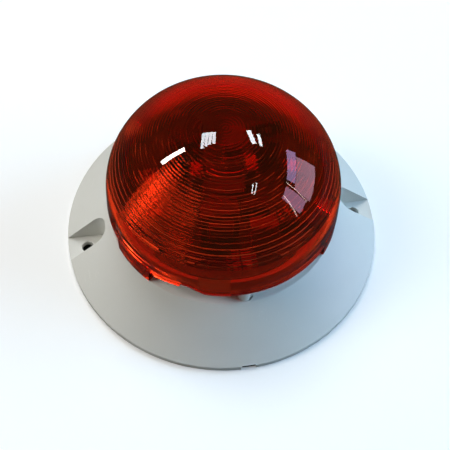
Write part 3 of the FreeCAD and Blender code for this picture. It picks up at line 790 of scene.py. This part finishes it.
@dataclass
class PanScrews:
    """Pan-head screws evenly round a ring, each with a cross recess and a threaded shank."""

    node: str
    ring: float
    first: float
    seat_z: float
    facing: int = 1
    count: int = 3
    shank_r: float = 1.4
    head_r: float = 2.7
    head_h: float = 1.7
    length: float = 8.0
    neck: float = 0.4
    tip: float = 0.6
    pitch: float = 1.0
    thread: float = 0.28
    crown: float = 0.15
    corner: float = 0.55
    recess_half: float = 0.36
    recess_reach: float = 1.55
    recess_depth: float = 0.95
    draft: float = 0.16
    columns: int = 72
    top_rows: int = 24
    corner_rows: int = 7
    shank_rows: int = 62

    def recess(self, radius: np.ndarray, angle: np.ndarray) -> np.ndarray:
        """Depth of the cross at places on the head.

        With d the distance to the nearer arm's middle line, the depth is recess_depth times how far
        d lies inside recess_half and the radius inside recess_reach, each over its draft and kept
        within 0..1.

        Args:
            radius: radii of the places.
            angle: angles of the places, in radians.

        Returns:
            Depths.
        """
        off = np.minimum(np.abs(radius * np.cos(angle)), np.abs(radius * np.sin(angle)))
        inside = np.clip((self.recess_half - off) / self.draft + 0.5, 0.0, 1.0)
        within = np.clip((self.recess_reach - radius) / (2 * self.draft), 0.0, 1.0)
        return self.recess_depth * inside * within

    def section(self, angle: np.ndarray) -> Tuple[np.ndarray, np.ndarray]:
        """Rows from the middle of the head over its rounded edge and down the shank to the tip.

        The thread's radius is shank_r - thread (1 + cos(2 pi z / pitch - a)) / 2, which runs once
        round to a pitch; it fades in over one pitch below the neck.

        Args:
            angle: angles of the columns, in radians.

        Returns:
            Radii and heights, rows by columns, with the seat at height 0.
        """
        one = np.ones_like(angle)
        flat_r = self.head_r - self.corner
        top_r = np.linspace(0.0, flat_r, self.top_rows)[:, None] * one
        top_z = self.head_h - self.crown * (top_r / flat_r) ** 2 - self.recess(top_r, angle)
        bend = np.linspace(0.0, math.pi / 2, self.corner_rows)[1:, None] * one
        edge_r = flat_r + self.corner * np.sin(bend)
        edge_z = self.head_h - self.crown - self.corner * (1.0 - np.cos(bend))
        neck_r = np.array([[self.head_r], [self.shank_r]]) * one
        down = np.linspace(-self.neck, self.tip - self.length, self.shank_rows)[:, None] * one
        turn = 2.0 * math.pi * down / self.pitch - angle
        fade = np.clip((-self.neck - down) / self.pitch, 0.0, 1.0)
        shank_r = self.shank_r - self.thread * fade * (1.0 + np.cos(turn)) / 2
        tip_r = np.array([[self.shank_r / 2], [0.0]]) * one
        radius = np.concatenate([top_r, edge_r, neck_r, shank_r, tip_r])
        height = np.concatenate([top_z, edge_z, 0.0 * neck_r, down, 0.0 * tip_r - self.length])
        return radius, height

    def build(self) -> Piece:
        """Makes the screws.

        Returns:
            All screws as one object.
        """
        angle = np.arange(self.columns) * 2.0 * math.pi / self.columns
        points, faces = turned_shell(*self.section(angle), angle)
        points = points * np.array([1.0, self.facing, self.facing])
        all_points, all_faces = [], []
        for i in range(self.count):
            place = math.radians(self.first + 360.0 / self.count * i)
            x, y = self.ring * math.cos(place), self.ring * math.sin(place)
            all_points.append(points + np.array([x, y, self.seat_z]) * MM)
            all_faces += [group + len(points) * i for group in faces]
        return mesh_object(self.node + "_dressed", np.concatenate(all_points), all_faces)

    def dress(self, finishes: FinishSet) -> None:
        """Builds the screws and gives them their finish and their place."""
        screws = self.build()
        dress(screws, finishes.get("screw_steel"))
        seat(screws, Body.HOUSING, "screw_steel", self.node)


# Studio


def direction(azimuth: float, elevation: float) -> Vector:
    """Returns the unit vector towards an azimuth from +X and an elevation, both in degrees."""
    a, e = math.radians(azimuth), math.radians(elevation)
    return Vector((math.cos(a) * math.cos(e), math.sin(a) * math.cos(e), math.sin(e)))


class Shows(Enum):
    """What a lamp does: lights matt surfaces, is seen in gloss, is seen through the lens."""

    MIRROR = (False, True, False)
    GLOW = (False, False, True)
    FILL = (True, False, False)


class Hue(Enum):
    """Colours of the lamps."""

    COOL = (0.88, 0.94, 1.0)
    WARM = (1.0, 0.98, 0.92)
    LILAC = (0.80, 0.53, 1.0)
    ROSE = (1.0, 0.60, 0.80)
    MAUVE = (0.95, 0.55, 0.86)
    PEACH = (1.0, 0.80, 0.74)
    SKY = (0.43, 0.715, 1.0)
    DAY = (0.93, 0.98, 1.0)


@dataclass(frozen=True)
class Softbox:
    """A rectangular lamp that faces the part, as long as the angle between two directions."""

    name: str
    start: Span
    end: Span
    breadth: float
    radiance: float
    hue: Hue
    shows: Shows
    distance: float = 1.2
    target: Tuple[float, float, float] = (0.0, 0.0, 0.045)

    def build(self) -> None:
        """Places the lamp; its power is radiance times pi times area."""
        first, last = direction(*self.start) * self.distance, direction(*self.end) * self.distance
        middle = (first + last) / 2
        out = middle.normalized()
        along = (last - first).normalized()
        data = bpy.data.lights.new(self.name, "AREA")
        data.shape = "RECTANGLE"
        data.size, data.size_y = (last - first).length, self.breadth
        data.energy = self.radiance * math.pi * data.size * data.size_y
        data.color = self.hue.value
        lamp = bpy.data.objects.new(self.name, data)
        turn = Matrix((along, out.cross(along), out)).transposed().to_4x4()
        lamp.matrix_world = Matrix.Translation(middle + Vector(self.target)) @ turn
        lamp.visible_diffuse, lamp.visible_glossy, lamp.visible_transmission = self.shows.value
        bpy.context.scene.collection.objects.link(lamp)
        log.info("lamp %s", self.name)


@dataclass
class Studio:
    """Camera, lamps, world and floor."""

    azimuth: float = -11.5
    elevation: float = 58.87
    roll: float = 2.44
    distance: float = 0.390
    focal: float = 72.88
    sensor: float = 36.0
    shift: Span = (0.00756, 0.00733)
    clip: Span = (0.01, 20.0)
    pane_count: int = 4
    pane_breadth: float = 0.050
    pane_radiance: float = 18.0
    window_low: Tuple[Span, Span] = ((108.8, 55.2), (91.9, 58.9))
    window_high: Tuple[Span, Span] = ((132.2, 66.3), (99.1, 69.1))
    world_dim: float = 0.02
    world_mirrored: Colour = (0.10, 0.06, 0.02)
    world_through: float = 0.30
    world_seen: float = 0.90
    floor_size: float = 8.0
    floor_z: float = -0.0003
    floor_seen: float = 0.93
    floor_bounce: float = 0.5
    floor_mirrored: Colour = (0.05, 0.04, 0.015)
    floor_under_shade: Colour = (0.012, 0.014, 0.012)
    floor_roughness: float = 0.9
    floor_specular: float = 0.1
    under_r: float = 0.064
    lift: Span = (0.16, 0.84)
    lift_range: Span = (0.1, 1.6)
    lift_mirrored: float = 0.03

    def camera(self) -> None:
        """Aims the camera at the origin from the photograph's angle."""
        data = bpy.data.cameras.new("camera")
        data.lens, data.sensor_width = self.focal, self.sensor
        data.shift_x, data.shift_y = self.shift
        data.clip_start, data.clip_end = self.clip
        camera = bpy.data.objects.new("camera", data)
        a, e = math.radians(self.azimuth), math.radians(self.elevation)
        back = Vector((math.sin(a) * math.cos(e), -math.cos(a) * math.cos(e), math.sin(e)))
        camera.location = back * self.distance
        camera.rotation_mode = "QUATERNION"
        look = (-back).to_track_quat("-Z", "Y")
        camera.rotation_quaternion = look @ Quaternion((0.0, 0.0, 1.0), math.radians(self.roll))
        bpy.context.scene.collection.objects.link(camera)
        bpy.context.scene.camera = camera

    def panes(self) -> List[Softbox]:
        """Returns the mirrored window's panes, even columns from its low to its high edge."""
        edges = np.array(self.window_low), np.array(self.window_high)
        panes = []
        for i in range(self.pane_count):
            share = (i + 0.5) / self.pane_count
            foot, head = ((edge[0] + (edge[1] - edge[0]) * share).tolist() for edge in edges)
            panes.append(Softbox(f"pane_{i}", tuple(foot), tuple(head), self.pane_breadth,
                                 self.pane_radiance, Hue.COOL, Shows.MIRROR))
        return panes

    def lamps(self) -> List[Softbox]:
        """Returns the lamps: those seen in gloss, the glows in the rings and the soft fills."""
        mirror, glow, fill = Shows.MIRROR, Shows.GLOW, Shows.FILL
        return self.panes() + [
            Softbox("tube", (157.1, 37.9), (139.8, 54.2), 0.075, 60.0, Hue.WARM, mirror),
            Softbox("streak_core", (171.0, 36.0), (151.0, 58.0), 0.15, 13.0, Hue.WARM, glow),
            Softbox("streak_halo", (172.0, 34.0), (149.0, 60.0), 0.34, 9.0, Hue.WARM, glow),
            Softbox("arc_glow", (176.0, 48.0), (220.0, 62.0), 0.34, 6.0, Hue.WARM, glow),
            Softbox("strip_1", (53.0, 51.3), (34.1, 58.2), 0.075, 22.0, Hue.COOL, mirror),
            Softbox("strip_2", (42.4, 48.7), (27.2, 54.4), 0.05, 22.0, Hue.COOL, mirror),
            Softbox("slit_1", (-38.9, 62.5), (-52.0, 57.5), 0.02, 18.0, Hue.COOL, mirror),
            Softbox("slit_2", (-33.8, 60.2), (-50.0, 55.8), 0.02, 18.0, Hue.COOL, mirror),
            Softbox("panel_high", (-10.5, 33.5), (18.0, 31.0), 0.17, 5.6, Hue.LILAC, mirror),
            Softbox("panel_low", (-15.0, 20.0), (12.0, 18.5), 0.38, 4.4, Hue.ROSE, mirror),
            Softbox("panel_side", (-28.5, 25.0), (-16.8, 25.5), 0.46, 4.4, Hue.MAUVE, mirror),
            Softbox("bar_1", (-13.4, 37.5), (-16.4, 14.0), 0.012, 11.0, Hue.PEACH, mirror),
            Softbox("bar_2", (-26.0, 36.0), (-30.6, 14.5), 0.020, 10.0, Hue.PEACH, mirror),
            Softbox("cool_side", (-31.0, 23.0), (20.0, 23.0), 0.60, 7.2, Hue.SKY, fill),
            Softbox("side", (160.0, 42.0), (192.0, 42.0), 0.6, 7.1, Hue.WARM, fill),
            Softbox("window", (70.0, 55.0), (125.0, 55.0), 0.5, 7.0, Hue.DAY, fill),
        ]

    def world(self) -> None:
        """Dim even surroundings, pale where they are seen and a dim warm ceiling in gloss."""
        world = bpy.data.worlds.new("surroundings")
        world.use_nodes = True
        tree = Tree(world.node_tree)
        path = tree.add("LightPath").outputs
        colour = tree.blend(tree.mirrored(), grey(self.world_dim), self.world_mirrored)
        colour = tree.blend(path["Is Transmission Ray"], colour, grey(self.world_through))
        colour = tree.blend(path["Is Camera Ray"], colour, grey(self.world_seen))
        tree.feed(tree.tree.nodes["Background"], {"Color": colour})
        bpy.context.scene.world = world

    def floor_material(self) -> Material:
        """Builds the floor's material.

        Bounced and mirrored rays meet a darker floor than the eye does, a painted shade in the
        bounce light and in reflections, and the patch hidden under the part is painted near black
        as shade.
        With distance the floor is lifted towards white where it is seen; the shadow by the part
        stays.

        Returns:
            A matt material.
        """
        material, tree, shader = start_material("pale_floor")
        material.cycles.emission_sampling = "NONE"
        path = tree.add("LightPath").outputs
        mirrored = tree.mirrored()
        place = tree.add("TexCoord").outputs["Object"]
        off = tree.add("VectorMath", {0: place}, operation="LENGTH").outputs["Value"]
        clear = tree.math("GREATER_THAN", off, self.under_r)
        pale = tree.blend(path["Is Diffuse Ray"], grey(self.floor_seen), grey(self.floor_bounce))
        pale = tree.blend(mirrored, pale, self.floor_mirrored)
        # painted shade: within under_r, hidden under the part, the floor takes a near-black colour
        tree.feed(shader, {"Base Color": tree.blend(clear, self.floor_under_shade, pale),
                           "Roughness": self.floor_roughness,
                           "Specular IOR Level": self.floor_specular})
        dim = tree.math("MULTIPLY", mirrored, self.lift_mirrored)
        seen = tree.math("MAXIMUM", dim, path["Is Transmission Ray"])
        seen = tree.math("MAXIMUM", path["Is Camera Ray"], seen)
        far = tree.math("MULTIPLY", tree.ramp(off, self.lift_range, self.lift, "SMOOTHSTEP"), clear)
        lift = tree.add("Emission", {"Strength": tree.math("MULTIPLY", seen, far)})
        both = tree.add("AddShader", {0: shader.outputs[0], 1: lift.outputs[0]})
        tree.feed(tree.tree.nodes["Material Output"], {"Surface": both.outputs[0]})
        return material

    def floor(self) -> None:
        """Lays a plain pale floor under the back face."""
        half = self.floor_size / 2
        corners = ((-half, -half), (half, -half), (half, half), (-half, half))
        points = np.array([(x, y, self.floor_z) for x, y in corners])
        floor = mesh_object("floor", points, [np.array([[0, 1, 2, 3]])])
        dress(floor, self.floor_material())

    def build(self) -> None:
        """Makes the whole studio."""
        self.camera()
        self.world()
        self.floor()
        for lamp in self.lamps():
            lamp.build()
        bpy.context.scene.view_settings.view_transform = "Standard"


def main() -> None:
    """Builds the part's looks and the studio in order."""
    logging.basicConfig(level=logging.INFO, format="%(name)s: %(message)s")
    finishes = FinishSet()
    finishes.build()
    finishes.dress_nodes()
    Lens().dress(finishes)
    PanScrews("board_screws", ring=35.7, first=105.0, seat_z=29.6).dress(finishes)
    PanScrews("rear_cover_screws", ring=44.6, first=45.0, seat_z=6.0, facing=-1).dress(finishes)
    Studio().build()


if __name__ == "__main__":
    main()
